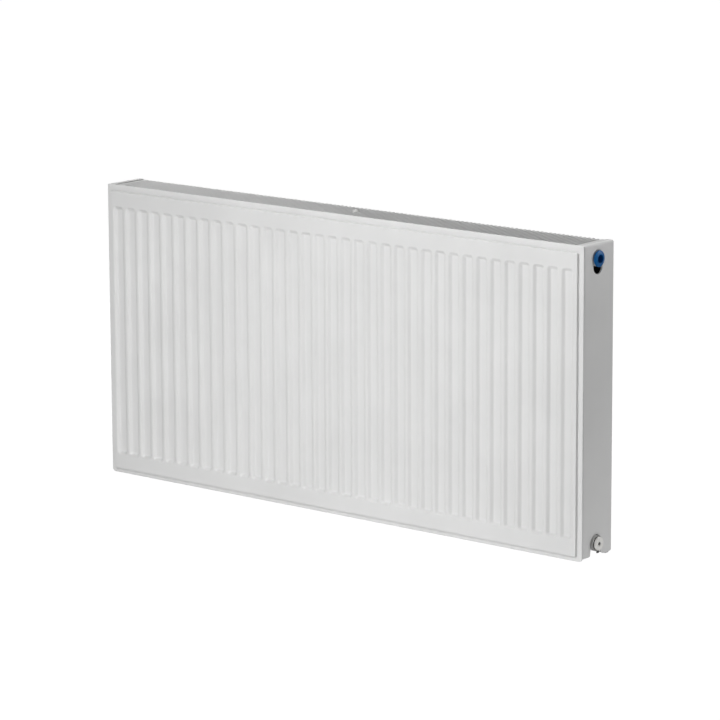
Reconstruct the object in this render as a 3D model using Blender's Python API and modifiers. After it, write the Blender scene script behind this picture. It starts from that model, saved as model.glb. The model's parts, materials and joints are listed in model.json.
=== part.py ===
"""Steel panel radiator: two pressed panels with convectors, a grille, covers and fittings.

Metres, +Z up. X runs along the length and the front faces -Y. The pieces are laid out about
the mid-plane between the two panels, and one empty centres them on the origin.
"""
import math

import bmesh
import bpy
from mathutils import Matrix

# Overall sizes
LENGTH = 1.200            # front panel, end to end
HEIGHT = 0.600            # front panel, bottom edge to top edge
PANEL_SPACING = 0.090     # outer face of the front flange to that of the rear flange
SEAT = 0.0003             # gap between pieces that are welded or seated on each other

# Pressed panels
SHEET = 0.0012            # sheet thickness
FLANGE = 0.010            # flat welded edge round a panel
FIELD_RISE = 0.0055       # raised field above the flange
STEP_RUN = 0.002          # step between flange and field
TOP_RIM = 0.0035          # front sheet above the other sheets, in front of the grille
CHANNEL_PITCH = 1.0 / 30  # water channel to water channel
SLOT_WIDTH = 0.0259       # slot between two channels, at the field
SLOT_WALL_RUN = 0.0050    # slope of a slot's long walls
SLOT_END_MARGIN = 0.041   # panel edge to the end of a slot, at the field
SLOT_END_RUN = 0.009      # slope of a slot's end walls

# Convectors
CONVECTOR_SHEET = 0.0005
CONVECTOR_DEPTH = 0.030
CONVECTOR_FOOT = 0.007    # flat welded to a channel
CONVECTOR_CREST = 0.012   # flat at the air gap
CONVECTOR_MARGIN = 0.075  # panel edge to the end of a convector

# Connections
CONNECTION_INSET = 0.029  # connection axis from the top and bottom edges
TEE_INSET = 0.027         # cross tube axis from the end of the panel
TUBE_RADIUS = 0.013
TUBE_BORE = 0.009
SOCKET_RADIUS = 0.0140
SOCKET_BORE = 0.0102

# Top grille
GRILLE_SHEET = 0.0012
GRILLE_PITCH = 0.010
GRILLE_BAR = 0.004
GRILLE_END = 0.008        # least plain length at each end
GRILLE_RAIL = 0.006       # plain strip along the front
GRILLE_SKIRT = 0.006      # folded edges
GRILLE_WRAP = 0.0035      # slots run this far down the rear skirt
GRILLE_CLEAR = 0.0005     # to the covers at each end
CLIP_RADIUS = 0.0075
CLIP_HEIGHT = 0.0032
CLIP_DIMPLE = 0.0045
CLIP_STEM = 0.0022
CLIP_REACH = 0.007        # stem below the grille
CLIP_BACK = 0.004         # clip behind the grille's mid-line

# Side covers
COVER_SHEET = 0.0010
COVER_OVERHANG = 0.0045   # behind the rear flange
COVER_BOTTOM = 0.0055     # bottom edge above the floor
COVER_BEND = 0.004        # rounded edges
COVER_CORNER = 0.005      # rounded corners of the legs
COVER_TOP_LIP = 0.0135    # lip over the top, beside the grille
LIP_CLEAR = 0.001         # other lips stop this far from the pressed step
HOLE_RADIUS = 0.0156      # upper hole, round the cap
HOLE_FOOT = 0.0134        # radius of its narrower foot
HOLE_DROP = 0.0146        # from the cap's axis to the foot's centre
NOTCH_RADIUS = 0.0175     # lower notch
COLLAR_DEPTH = 0.002      # turned-in edge of the holes

# Transport caps
CAP_RADIUS = 0.0152
CAP_FLANGE = 0.0050
CAP_SPIGOT = 0.014        # length inside the socket
CAP_WALL = 0.0011
CAP_LIP = 0.0014          # raised lip round the cap's mouth: height, and width of its slope

# Vent and drain plugs
PLUG_RADIUS = 0.0135
PLUG_HEAD = 0.0024
PLUG_CHAMFER = 0.0010
PLUG_COLLAR = 0.0018      # height of the collar under the ring
PLUG_COLLAR_RADIUS = 0.0125
PLUG_SPIGOT = 0.012       # length inside the socket
KEY_RADIUS = 0.0038       # recess for the key
KEY_DEPTH = 0.004
SCREW_SQUARE = 0.0046
SCREW_RADIUS = 0.002
SCREW_LENGTH = 0.012
RING_HEIGHT = 0.0024
SPOUT_WIDTH = 0.007
SPOUT_REACH = 0.0195
SPOUT_BORE = 0.0009
SEAL_HEIGHT = 0.0010
SEAL_RADIUS = 0.012

# Hanging lugs
LUG_DEPTH = 0.010
LUG_SHEET = 0.002
LUG_POCKET = 0.024        # clear width for the wall hook
LUG_FOOT = 0.008
LUG_HEIGHT = 0.060
LUG_MARGIN = 0.060        # lug from the top and bottom edges
LUG_SLOT = 3              # slot that a lug bridges, counted from each end

# Facets
ROUND_STEPS = 20
TUBE_STEPS = 16
SMALL_STEPS = 12
ARC_STEPS = 8
BEND_STEPS = 3

# Places that follow from the sizes
HALF = LENGTH / 2
FRONT_FLANGE = -PANEL_SPACING / 2
REAR_FLANGE = PANEL_SPACING / 2
PANEL_TOP = HEIGHT - TOP_RIM
REAR_HALF = HALF - COVER_SHEET - SEAT
INNER_FACE = REAR_FLANGE - SHEET - SEAT - FIELD_RISE - SHEET
REAR_FIELD = REAR_FLANGE + FIELD_RISE
CHANNELS = int(LENGTH / CHANNEL_PITCH + 1e-6)
SLOT_CENTRES = [(k - (CHANNELS - 2) / 2) * CHANNEL_PITCH for k in range(CHANNELS - 1)]
COVER_FRONT = FRONT_FLANGE + 2 * (SHEET + SEAT)
COVER_REAR = REAR_FLANGE + COVER_OVERHANG
COVER_LIP = FLANGE - LIP_CLEAR
GRILLE_HALF = HALF - COVER_TOP_LIP - GRILLE_CLEAR
GRILLE_TOP = PANEL_TOP + SEAT + GRILLE_SHEET
GRILLE_REAR = COVER_REAR - SEAT
SOCKET_FACE = HALF - SEAT
SPIGOT_RADIUS = SOCKET_BORE - SEAT
HIGH = HEIGHT - CONNECTION_INSET
LOW = CONNECTION_INSET
TO_SIDE = Matrix(((0, 0, 1, 0), (1, 0, 0, 0), (0, 1, 0, 0), (0, 0, 0, 1)))


def clear_scene():
    """Empty the scene and make the two collections and the empty that carries the parts."""
    for obj in list(bpy.data.objects):
        bpy.data.objects.remove(obj, do_unlink=True)
    collections = []
    for name in ("radiator", "cutters"):
        collection = bpy.data.collections.new(name)
        bpy.context.scene.collection.children.link(collection)
        collections.append(collection)
    frame = bpy.data.objects.new("frame", None)
    frame.location.y = -(SEAT + LUG_DEPTH) / 2
    collections[0].objects.link(frame)
    return collections[0], collections[1], frame


PARTS, CUTTERS, FRAME = clear_scene()


def make_material(name, color, roughness, metallic):
    """One Principled material."""
    material = bpy.data.materials.new(name)
    material.use_nodes = True
    shader = material.node_tree.nodes["Principled BSDF"]
    shader.inputs["Base Color"].default_value = (*color, 1.0)
    shader.inputs["Roughness"].default_value = roughness
    shader.inputs["Metallic"].default_value = metallic
    return material


WHITE_PAINT = make_material("white_paint", (0.80, 0.80, 0.78), 0.35, 0.0)
BLUE_PLASTIC = make_material("blue_plastic", (0.02, 0.10, 0.24), 0.45, 0.0)
BLACK_PLASTIC = make_material("black_plastic", (0.02, 0.02, 0.02), 0.5, 0.0)
NICKEL = make_material("nickel", (0.75, 0.74, 0.71), 0.25, 1.0)
STEEL = make_material("steel", (0.45, 0.45, 0.45), 0.35, 1.0)
SEAL_RUBBER = make_material("seal_rubber", (0.05, 0.05, 0.05), 0.7, 0.0)


def mesh_of(bm, name):
    """Close a bmesh into a mesh."""
    mesh = bpy.data.meshes.new(name)
    bm.to_mesh(mesh)
    bm.free()
    return mesh


def add_part(name, mesh, material, location=(0, 0, 0), rotation=(0, 0, 0)):
    """A named part on the frame."""
    obj = bpy.data.objects.new(name, mesh)
    if not mesh.materials:
        mesh.materials.append(material)
    obj.location = location
    obj.rotation_euler = rotation
    obj.parent = FRAME
    PARTS.objects.link(obj)
    return obj


def add_cutter(name, mesh):
    """A hidden solid for a Boolean, in the frame's coordinates."""
    obj = bpy.data.objects.new(name, mesh)
    obj.hide_render = True
    obj.display_type = "WIRE"
    obj.parent = FRAME
    CUTTERS.objects.link(obj)
    return obj


def cut(obj, operation, name, mesh):
    """Boolean a part with a new cutter."""
    modifier = obj.modifiers.new(name, "BOOLEAN")
    modifier.operation = operation
    modifier.object = add_cutter(name, mesh)
    return modifier


def baked(obj):
    """The mesh of an object with its modifiers applied; the object and its cutters go."""
    cutters = [modifier.object for modifier in obj.modifiers if modifier.type == "BOOLEAN"]
    bpy.context.view_layer.update()
    graph = bpy.context.evaluated_depsgraph_get()
    mesh = bpy.data.meshes.new_from_object(obj.evaluated_get(graph))
    for used in [obj, *cutters]:
        bpy.data.objects.remove(used, do_unlink=True)
    return mesh


def set_origin(obj, point):
    """Move a part's origin without moving its shape."""
    obj.data.transform(Matrix.Translation([-value for value in point]))
    obj.location = point


def block(name, low, high):
    """A box between two corners."""
    bm = bmesh.new()
    bmesh.ops.create_cube(bm, size=1.0)
    size = [b - a for a, b in zip(low, high)]
    centre = [(a + b) / 2 for a, b in zip(low, high)]
    bmesh.ops.scale(bm, vec=size, verts=bm.verts)
    bmesh.ops.translate(bm, vec=centre, verts=bm.verts)
    return mesh_of(bm, name)


def rod(name, radius, start, end, axis, steps, centre=(0, 0, 0)):
    """A cylinder along a world axis, from start to end on it."""
    bm = bmesh.new()
    bmesh.ops.create_cone(bm, cap_ends=True, segments=steps, radius1=radius, radius2=radius,
                          depth=end - start)
    bmesh.ops.translate(bm, vec=(0, 0, (start + end) / 2), verts=bm.verts)
    turn = {"X": Matrix.Rotation(math.pi / 2, 4, "Y"),
            "Y": Matrix.Rotation(-math.pi / 2, 4, "X"),
            "Z": Matrix.Identity(4)}[axis]
    bmesh.ops.transform(bm, matrix=Matrix.Translation(centre) @ turn, verts=bm.verts)
    return mesh_of(bm, name)


def turned(name, profile, closed):
    """A solid turned about Z from a profile of (radius, height) points."""
    bm = bmesh.new()
    points = [bm.verts.new((radius, 0, height)) for radius, height in profile]
    for first, second in zip(points, points[1:]):
        bm.edges.new((first, second))
    if closed:
        bm.edges.new((points[-1], points[0]))
    obj = bpy.data.objects.new(name, mesh_of(bm, name))
    CUTTERS.objects.link(obj)
    screw = obj.modifiers.new("turn", "SCREW")
    screw.steps = ROUND_STEPS
    screw.render_steps = ROUND_STEPS
    screw.use_merge_vertices = True
    screw.merge_threshold = 0.00001
    mesh = baked(obj)
    mesh.shade_smooth()
    mesh.set_sharp_from_angle(angle=math.radians(30))
    return mesh


def arc(centre, radius, start, end, steps=ARC_STEPS):
    """Points on an arc, angles in degrees."""
    points = []
    for step in range(steps + 1):
        angle = math.radians(start + (end - start) * step / steps)
        points.append((centre[0] + radius * math.cos(angle), centre[1] + radius * math.sin(angle)))
    return points


def prism(name, outlines, start, end):
    """Closed outlines in Y and Z, filled and extruded along X from start to end."""
    curve = bpy.data.curves.new(name, "CURVE")
    curve.dimensions = "2D"
    curve.fill_mode = "BOTH"
    curve.extrude = abs(end - start) / 2
    for outline in outlines:
        spline = curve.splines.new("POLY")
        spline.points.add(len(outline) - 1)
        for point, (y, z) in zip(spline.points, outline):
            point.co = (y, z, 0, 1)
        spline.use_cyclic_u = True
    obj = bpy.data.objects.new(name, curve)
    CUTTERS.objects.link(obj)
    mesh = baked(obj)
    bm = bmesh.new()
    bm.from_mesh(mesh)
    bmesh.ops.remove_doubles(bm, verts=bm.verts, dist=0.00001)
    bmesh.ops.transform(bm, matrix=Matrix.Translation(((start + end) / 2, 0, 0)) @ TO_SIDE,
                        verts=bm.verts)
    bmesh.ops.recalc_face_normals(bm, faces=bm.faces)
    return mesh_of(bm, name)


def facing(side):
    """Rotation that points a turned part's Z along +X or -X, with its own +X down."""
    return (0, math.pi / 2, 0 if side > 0 else math.pi)


def grid(across, along):
    """A flat grid of quads; returns the bmesh and its vertices by column and row."""
    bm = bmesh.new()
    bmesh.ops.create_grid(bm, x_segments=across, y_segments=along, size=1.0)
    table = {}
    for vert in bm.verts:
        column = round((vert.co.x + 1) / 2 * across)
        row = round((vert.co.y + 1) / 2 * along)
        table[column, row] = vert
    return bm, table


def press_lines_x(half_length):
    """Press lines along the length: place and what the line bounds."""
    edge = HALF - FLANGE
    lines = [(-half_length, "flange"), (-edge, "flange"), (STEP_RUN - edge, "field")]
    for centre in SLOT_CENTRES:
        for offset, kind in ((-SLOT_WIDTH / 2, "field"), (SLOT_WALL_RUN - SLOT_WIDTH / 2, "floor"),
                             (SLOT_WIDTH / 2 - SLOT_WALL_RUN, "floor"), (SLOT_WIDTH / 2, "field")):
            lines.append((centre + offset, kind))
    lines += [(edge - STEP_RUN, "field"), (edge, "flange"), (half_length, "flange")]
    return lines


def press_lines_z(top):
    """Press lines up the height, the same for every sheet but for its top edge."""
    low, high = SLOT_END_MARGIN, HEIGHT - SLOT_END_MARGIN
    return [(0, "flange"), (FLANGE, "flange"), (FLANGE + STEP_RUN, "field"),
            (low, "field"), (low + SLOT_END_RUN, "floor"),
            (high - SLOT_END_RUN, "floor"), (high, "field"),
            (HEIGHT - FLANGE - STEP_RUN, "field"), (HEIGHT - FLANGE, "flange"), (top, "flange")]


def pressed_sheet(name, face, rise, half_length, top, chamfered=False):
    """A pressed sheet whose flange starts at face and whose field is raised by rise along Y."""
    columns, rows = press_lines_x(half_length), press_lines_z(top)
    bm, table = grid(len(columns) - 1, len(rows) - 1)
    raised = set()
    for (column, row), vert in table.items():
        (x, across), (z, along) = columns[column], rows[row]
        flat = "flange" in (across, along) or (across == "floor" and along == "floor")
        if not flat:
            raised.add(vert)
        vert.co = (x, face if flat else face + rise, z)
    split_pressed_corners(bm, raised, chamfered)
    bmesh.ops.dissolve_limit(bm, angle_limit=0.001, verts=bm.verts, edges=bm.edges)
    back = bmesh.ops.extrude_face_region(bm, geom=bm.faces[:])["geom"]
    moved = [item for item in back if isinstance(item, bmesh.types.BMVert)]
    bmesh.ops.translate(bm, vec=(0, SHEET, 0), verts=moved)
    bmesh.ops.recalc_face_normals(bm, faces=bm.faces)
    return add_part(name, mesh_of(bm, name), WHITE_PAINT)


def split_pressed_corners(bm, raised, chamfered):
    """Split each pressed corner at the one vertex that differs: past it (chamfer) or through it."""
    for face in bm.faces[:]:
        up = [vert for vert in face.verts if vert in raised]
        if len(up) not in (1, 3):
            continue
        odd = up[0] if len(up) == 1 else next(vert for vert in face.verts if vert not in raised)
        place = list(face.verts).index(odd) + (1 if chamfered else 0)
        pair = [face.verts[place % 4], face.verts[(place + 2) % 4]]
        bmesh.ops.connect_verts(bm, verts=pair)


def make_panels():
    """Front and rear panel, each of two pressed sheets; the inner sheets have the ports."""
    pressed_sheet("front_outer_sheet", FRONT_FLANGE, -FIELD_RISE, HALF, HEIGHT, chamfered=True)
    front_inner = pressed_sheet("front_inner_sheet", FRONT_FLANGE + SHEET + SEAT, FIELD_RISE,
                                HALF, PANEL_TOP)
    rear_inner = pressed_sheet("rear_inner_sheet", REAR_FLANGE - 2 * SHEET - SEAT, -FIELD_RISE,
                               REAR_HALF, PANEL_TOP)
    pressed_sheet("rear_outer_sheet", REAR_FLANGE - SHEET, FIELD_RISE, REAR_HALF, PANEL_TOP)
    for sheet in (front_inner, rear_inner):
        for side in (-1, 1):
            for height in (LOW, HIGH):
                port = rod("port", TUBE_BORE, -PANEL_SPACING, PANEL_SPACING, "Y", SMALL_STEPS,
                           (side * (HALF - TEE_INSET), 0, height))
                cut(sheet, "DIFFERENCE", "port", port)


def convector_profile(outside, inside):
    """Folded fin profile: a foot on every water channel and a crest over every slot."""
    points = []
    for k in range(CHANNELS):
        foot = (k - (CHANNELS - 1) / 2) * CHANNEL_PITCH
        points += [(foot - CONVECTOR_FOOT / 2, outside), (foot + CONVECTOR_FOOT / 2, outside)]
        crest = foot + CHANNEL_PITCH / 2
        if k < CHANNELS - 1:
            points += [(crest - CONVECTOR_CREST / 2, inside), (crest + CONVECTOR_CREST / 2, inside)]
    return points


def make_convector(name, side):
    """A folded fin sheet on the inside of one panel; side is -1 in front and 1 behind."""
    outside = side * (INNER_FACE - SEAT - CONVECTOR_SHEET / 2)
    inside = outside - side * (CONVECTOR_DEPTH - CONVECTOR_SHEET)
    points = convector_profile(outside, inside)
    bm, table = grid(len(points) - 1, 1)
    for (column, row), vert in table.items():
        x, y = points[column]
        vert.co = (x, y, CONVECTOR_MARGIN if row == 0 else HEIGHT - CONVECTOR_MARGIN)
    obj = add_part(name, mesh_of(bm, name), WHITE_PAINT)
    solidify = obj.modifiers.new("sheet", "SOLIDIFY")
    solidify.thickness = CONVECTOR_SHEET
    solidify.offset = 0
    solidify.use_even_offset = True


def make_tees():
    """Four tees: a cross tube between the panels with a socket towards the end."""
    reach = INNER_FACE - SEAT
    tube = add_part("tee", rod("tee", TUBE_RADIUS, -reach, reach, "Y", TUBE_STEPS), WHITE_PAINT)
    socket_end = SOCKET_FACE - (HALF - TEE_INSET)
    cut(tube, "UNION", "socket", rod("socket", SOCKET_RADIUS, 0, socket_end, "X", TUBE_STEPS))
    cut(tube, "DIFFERENCE", "tube_bore",
        rod("tube_bore", TUBE_BORE, -PANEL_SPACING, PANEL_SPACING, "Y", SMALL_STEPS))
    cut(tube, "DIFFERENCE", "socket_bore",
        rod("socket_bore", SOCKET_BORE, 0, 2 * socket_end, "X", ROUND_STEPS))
    mesh = baked(tube)
    for side, end in ((-1, "left"), (1, "right")):
        for height, level in ((LOW, "bottom"), (HIGH, "top")):
            add_part(f"tee_{level}_{end}", mesh, WHITE_PAINT,
                     (side * (HALF - TEE_INSET), 0, height), (0, 0, 0 if side > 0 else math.pi))


def grille_section():
    """The grille's folded section in Y and Z, front skirt to rear skirt."""
    foot = GRILLE_TOP - GRILLE_SKIRT
    return [(COVER_FRONT, foot), (COVER_FRONT, GRILLE_TOP), (COVER_FRONT + GRILLE_RAIL, GRILLE_TOP),
            (GRILLE_REAR, GRILLE_TOP), (GRILLE_REAR, GRILLE_TOP - GRILLE_WRAP), (GRILLE_REAR, foot)]


def grille_columns():
    """Edges of the bars along X: slots lie between columns 1-2, 3-4 and so on."""
    count = int((2 * (GRILLE_HALF - GRILLE_END) + GRILLE_BAR) / GRILLE_PITCH)
    columns = [-GRILLE_HALF]
    for k in range(count):
        centre = (k - (count - 1) / 2) * GRILLE_PITCH
        gap = (GRILLE_PITCH - GRILLE_BAR) / 2
        columns += [centre - gap, centre + gap]
    return columns + [GRILLE_HALF]


def make_grille():
    """The lift-off grille: a folded sheet whose slots run over its rear edge."""
    columns, section = grille_columns(), grille_section()
    bm, table = grid(len(columns) - 1, len(section) - 1)
    for (column, row), vert in table.items():
        y, z = section[row]
        vert.co = (columns[column], y, z)
    slots = []
    for face in bm.faces:
        column = min(c for (c, r), vert in table.items() if vert in face.verts)
        row = min(r for (c, r), vert in table.items() if vert in face.verts)
        if column % 2 == 1 and row in (2, 3):
            slots.append(face)
    bmesh.ops.delete(bm, geom=slots, context="FACES")
    bmesh.ops.dissolve_limit(bm, angle_limit=0.001, verts=bm.verts, edges=bm.edges)
    grille = add_part("top_grille", mesh_of(bm, "top_grille"), WHITE_PAINT)
    solidify = grille.modifiers.new("sheet", "SOLIDIFY")
    solidify.thickness = GRILLE_SHEET
    solidify.offset = -1
    solidify.use_even_offset = True
    set_origin(grille, (0, 0, GRILLE_TOP))
    return columns


def make_grille_clip(columns):
    """The round clip pushed into the second slot right of the middle of the grille."""
    middle = len(columns) // 2
    slot = middle + 2 if middle % 2 == 1 else middle + 3
    place = (columns[slot] + columns[slot + 1]) / 2
    rim = CLIP_RADIUS - CLIP_HEIGHT
    profile = [(0, SEAT + CLIP_HEIGHT / 2), (CLIP_DIMPLE, SEAT + CLIP_HEIGHT)]
    profile += arc((rim, SEAT), CLIP_HEIGHT, 90, 0, BEND_STEPS)
    profile += [(CLIP_STEM, SEAT), (CLIP_STEM, -CLIP_REACH), (0, -CLIP_REACH)]
    clip = turned("grille_clip", profile, False)
    add_part("grille_clip", clip, WHITE_PAINT, (place, CLIP_BACK, GRILLE_TOP))


def cover_outline():
    """Side outline of a cover in Y and Z: rounded legs and a notch for the lower connection."""
    corner, low, top = COVER_CORNER, COVER_BOTTOM, HEIGHT + COVER_BEND
    front, rear = COVER_FRONT - COVER_BEND, COVER_REAR + COVER_BEND
    points = [(front, low)]
    points += arc((-NOTCH_RADIUS - corner, low + corner), corner, -90, 0, BEND_STEPS)
    points += arc((0, LOW), NOTCH_RADIUS, 180, 0, 2 * ARC_STEPS)
    points += arc((NOTCH_RADIUS + corner, low + corner), corner, 180, 270, BEND_STEPS)
    points += arc((COVER_REAR - corner, low + corner), corner, 270, 345, BEND_STEPS)
    points += [(rear, low + corner), (rear, top), (front, top)]
    return points


def hole_outline(margin=0.0):
    """The upper hole's outline, or that of its collar, which is larger by a margin."""
    return (arc((0, HIGH), HOLE_RADIUS + margin, 0, 180)
            + arc((0, HIGH - HOLE_DROP), HOLE_FOOT + margin, 180, 360))


def cover_tray(name):
    """Open tray with rounded edges: face, front lip, rear lip and top lip."""
    bm = bmesh.new()
    bmesh.ops.create_cube(bm, size=1.0)
    low = (HALF - COVER_TOP_LIP, COVER_FRONT, 0)
    size = (COVER_TOP_LIP, COVER_REAR - COVER_FRONT, HEIGHT)
    bmesh.ops.scale(bm, vec=size, verts=bm.verts)
    bmesh.ops.translate(bm, vec=[a + b / 2 for a, b in zip(low, size)], verts=bm.verts)
    opened = [face for face in bm.faces if face.normal.x < -0.5 or face.normal.z < -0.5]
    bmesh.ops.delete(bm, geom=opened, context="FACES")
    edges = [edge for edge in bm.edges if len(edge.link_faces) == 2]
    bmesh.ops.bevel(bm, geom=edges, offset=COVER_BEND, segments=BEND_STEPS, profile=0.5,
                    affect="EDGES", clamp_overlap=True)
    return mesh_of(bm, name)


def make_cover(name, side):
    """A side cover, built for the right end and mirrored for the left one."""
    cover = add_part(name, cover_tray(name), WHITE_PAINT)
    solidify = cover.modifiers.new("sheet", "SOLIDIFY")
    solidify.thickness = COVER_SHEET
    solidify.offset = -1
    solidify.use_even_offset = True
    inside, outside = HALF - 2 * COVER_TOP_LIP, HALF + COVER_TOP_LIP
    short_lips = block("short_lips", (inside, -PANEL_SPACING, -HEIGHT),
                       (HALF - COVER_LIP, PANEL_SPACING, HEIGHT - COVER_BEND - COVER_SHEET / 2))
    cut(cover, "DIFFERENCE", "short_lips", short_lips)
    start, end = HALF - COVER_SHEET - COLLAR_DEPTH, HALF - COVER_SHEET / 2
    collar = prism("hole_collar", [hole_outline(COVER_SHEET)], start, end)
    cut(cover, "UNION", "hole_collar", collar)
    rim = NOTCH_RADIUS + COVER_SHEET
    arch = [(-rim, COVER_SHEET)] + arc((0, LOW), rim, 180, 0, 2 * ARC_STEPS) + [(rim, COVER_SHEET)]
    cut(cover, "UNION", "notch_collar", prism("notch_collar", [arch], start, end))
    outline = prism("cover_outline", [cover_outline()], inside, outside)
    cut(cover, "INTERSECT", "cover_outline", outline)
    hole = prism("cover_hole", [hole_outline()], inside, outside)
    cut(cover, "DIFFERENCE", "cover_hole", hole)
    mesh = baked(cover)
    if side < 0:
        bm = bmesh.new()
        bm.from_mesh(mesh)
        bmesh.ops.scale(bm, vec=(-1, 1, 1), verts=bm.verts)
        bmesh.ops.reverse_faces(bm, faces=bm.faces)
        bm.to_mesh(mesh)
        bm.free()
    cover = add_part(name, mesh, WHITE_PAINT)
    set_origin(cover, (side * HALF, 0, HEIGHT / 2))


def make_cap(name, side, height):
    """A hollow transport cap pushed into a socket."""
    face, bore = SEAT + CAP_FLANGE, SPIGOT_RADIUS - CAP_WALL
    lip = bore + CAP_WALL
    profile = [(0, CAP_WALL - CAP_SPIGOT), (bore, CAP_WALL - CAP_SPIGOT), (bore, face + CAP_LIP),
               (lip, face + CAP_LIP), (lip + CAP_LIP, face), (CAP_RADIUS - CAP_WALL, face),
               (CAP_RADIUS, face - CAP_WALL), (CAP_RADIUS, SEAT), (SPIGOT_RADIUS, SEAT),
               (SPIGOT_RADIUS, -CAP_SPIGOT), (0, -CAP_SPIGOT)]
    add_part(name, turned(name, profile, False), BLUE_PLASTIC,
             (side * SOCKET_FACE, 0, height), facing(side))


def ring_profile(inner, outer, low, high):
    """Closed profile of a plain ring."""
    return [(outer, high), (outer, low), (inner, low), (inner, high)]


def make_plug(name, side, height):
    """A plug with a flat seal, a swivel ring with a spout, and a screw turned with a key."""
    place, turn = (side * SOCKET_FACE, 0, height), facing(side)
    collar_low = SEAT + SEAL_HEIGHT + SEAT
    collar_top = collar_low + PLUG_COLLAR
    ring_low = collar_top + SEAT
    head_low = ring_low + RING_HEIGHT + SEAT
    head_top = head_low + PLUG_HEAD
    key_floor = head_top - KEY_DEPTH
    bore = SCREW_RADIUS + SEAT
    body = [(KEY_RADIUS, head_top), (PLUG_RADIUS - PLUG_CHAMFER, head_top),
            (PLUG_RADIUS, head_top - PLUG_CHAMFER), (PLUG_RADIUS, head_low),
            (SPIGOT_RADIUS, head_low), (SPIGOT_RADIUS, collar_top),
            (PLUG_COLLAR_RADIUS, collar_top), (PLUG_COLLAR_RADIUS, collar_low),
            (SPIGOT_RADIUS, collar_low), (SPIGOT_RADIUS, -PLUG_SPIGOT), (bore, -PLUG_SPIGOT),
            (bore, key_floor), (KEY_RADIUS, key_floor)]
    add_part(f"{name}_plug", turned(f"{name}_plug", body, True), NICKEL, place, turn)
    seal = ring_profile(SOCKET_BORE, SEAL_RADIUS, SEAT, SEAT + SEAL_HEIGHT)
    add_part(f"{name}_seal", turned(f"{name}_seal", seal, True), SEAL_RUBBER, place, turn)
    ring = add_part(f"{name}_ring", spout_ring(f"{name}_ring", ring_low), BLACK_PLASTIC)
    ring.location, ring.rotation_euler = place, turn
    screw = add_part(f"{name}_screw", key_screw(f"{name}_screw", key_floor), STEEL)
    screw.location, screw.rotation_euler = place, turn


def spout_ring(name, low):
    """Swivel ring round the plug's neck, with a drilled spout towards its own +X."""
    high = low + RING_HEIGHT
    ring = add_part(name, turned(name, ring_profile(SOCKET_BORE, PLUG_RADIUS, low, high), True),
                    BLACK_PLASTIC)
    inset = RING_HEIGHT / 10
    inner = (SOCKET_BORE + PLUG_RADIUS) / 2
    spout = block("spout", (inner, -SPOUT_WIDTH / 2, low + inset),
                  (SPOUT_REACH, SPOUT_WIDTH / 2, high - inset))
    drill = rod("spout_bore", SPOUT_BORE, inner + inset, 2 * SPOUT_REACH, "X", SMALL_STEPS,
                (0, 0, (low + high) / 2))
    cut(ring, "UNION", "spout", spout)
    cut(ring, "DIFFERENCE", "spout_bore", drill)
    return baked(ring)


def key_screw(name, floor):
    """Bleed screw: a square for the key on a round shank."""
    low, high = floor + SEAT, floor + KEY_DEPTH - SEAT
    half = SCREW_SQUARE / 2
    screw = add_part(name, block(name, (-half, -half, low), (half, half, high)), STEEL)
    shank = rod("shank", SCREW_RADIUS, high - SCREW_LENGTH, (low + high) / 2, "Z", SMALL_STEPS)
    cut(screw, "UNION", "shank", shank)
    return baked(screw)


def make_lugs():
    """Four hanging lugs on the back: pockets that are open below and towards the panel."""
    foot = LUG_POCKET / 2 + LUG_FOOT
    wall = LUG_POCKET / 2 + LUG_SHEET
    plate = block("lug", (-foot, 0, 0), (foot, LUG_SHEET, LUG_HEIGHT))
    lug = add_part("lug", plate, WHITE_PAINT)
    cut(lug, "UNION", "lug_body",
        block("lug_body", (-wall, LUG_SHEET / 2, 0), (wall, LUG_DEPTH, LUG_HEIGHT)))
    cut(lug, "DIFFERENCE", "lug_pocket",
        block("lug_pocket", (-LUG_POCKET / 2, -LUG_DEPTH, -LUG_HEIGHT),
              (LUG_POCKET / 2, LUG_DEPTH - LUG_SHEET, LUG_HEIGHT - LUG_SHEET)))
    mesh = baked(lug)
    for slot, end in ((LUG_SLOT, "left"), (-1 - LUG_SLOT, "right")):
        for base, level in ((LUG_MARGIN, "lower"), (HEIGHT - LUG_MARGIN - LUG_HEIGHT, "upper")):
            add_part(f"lug_{level}_{end}", mesh, WHITE_PAINT,
                     (SLOT_CENTRES[slot], REAR_FIELD + SEAT, base))


make_panels()
make_convector("front_convector", -1)
make_convector("rear_convector", 1)
make_tees()
make_grille_clip(make_grille())
make_cover("left_side_cover", -1)
make_cover("right_side_cover", 1)
make_cap("cap_top_right", 1, HIGH)
make_cap("cap_bottom_left", -1, LOW)
make_plug("drain", 1, LOW)
make_plug("vent", -1, HIGH)
make_lugs()
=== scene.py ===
"""Looks of the panel radiator: pressed sheets, folded grille and covers, fittings, paint and light.

Metres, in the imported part's frame: X along the length, the front faces -Y, Z up. Every piece
replaces the CAD node of the same name and rides on that node's body.
"""
import json
import math

import bmesh
import bpy
import numpy as np
from mathutils import Matrix, Vector


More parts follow.
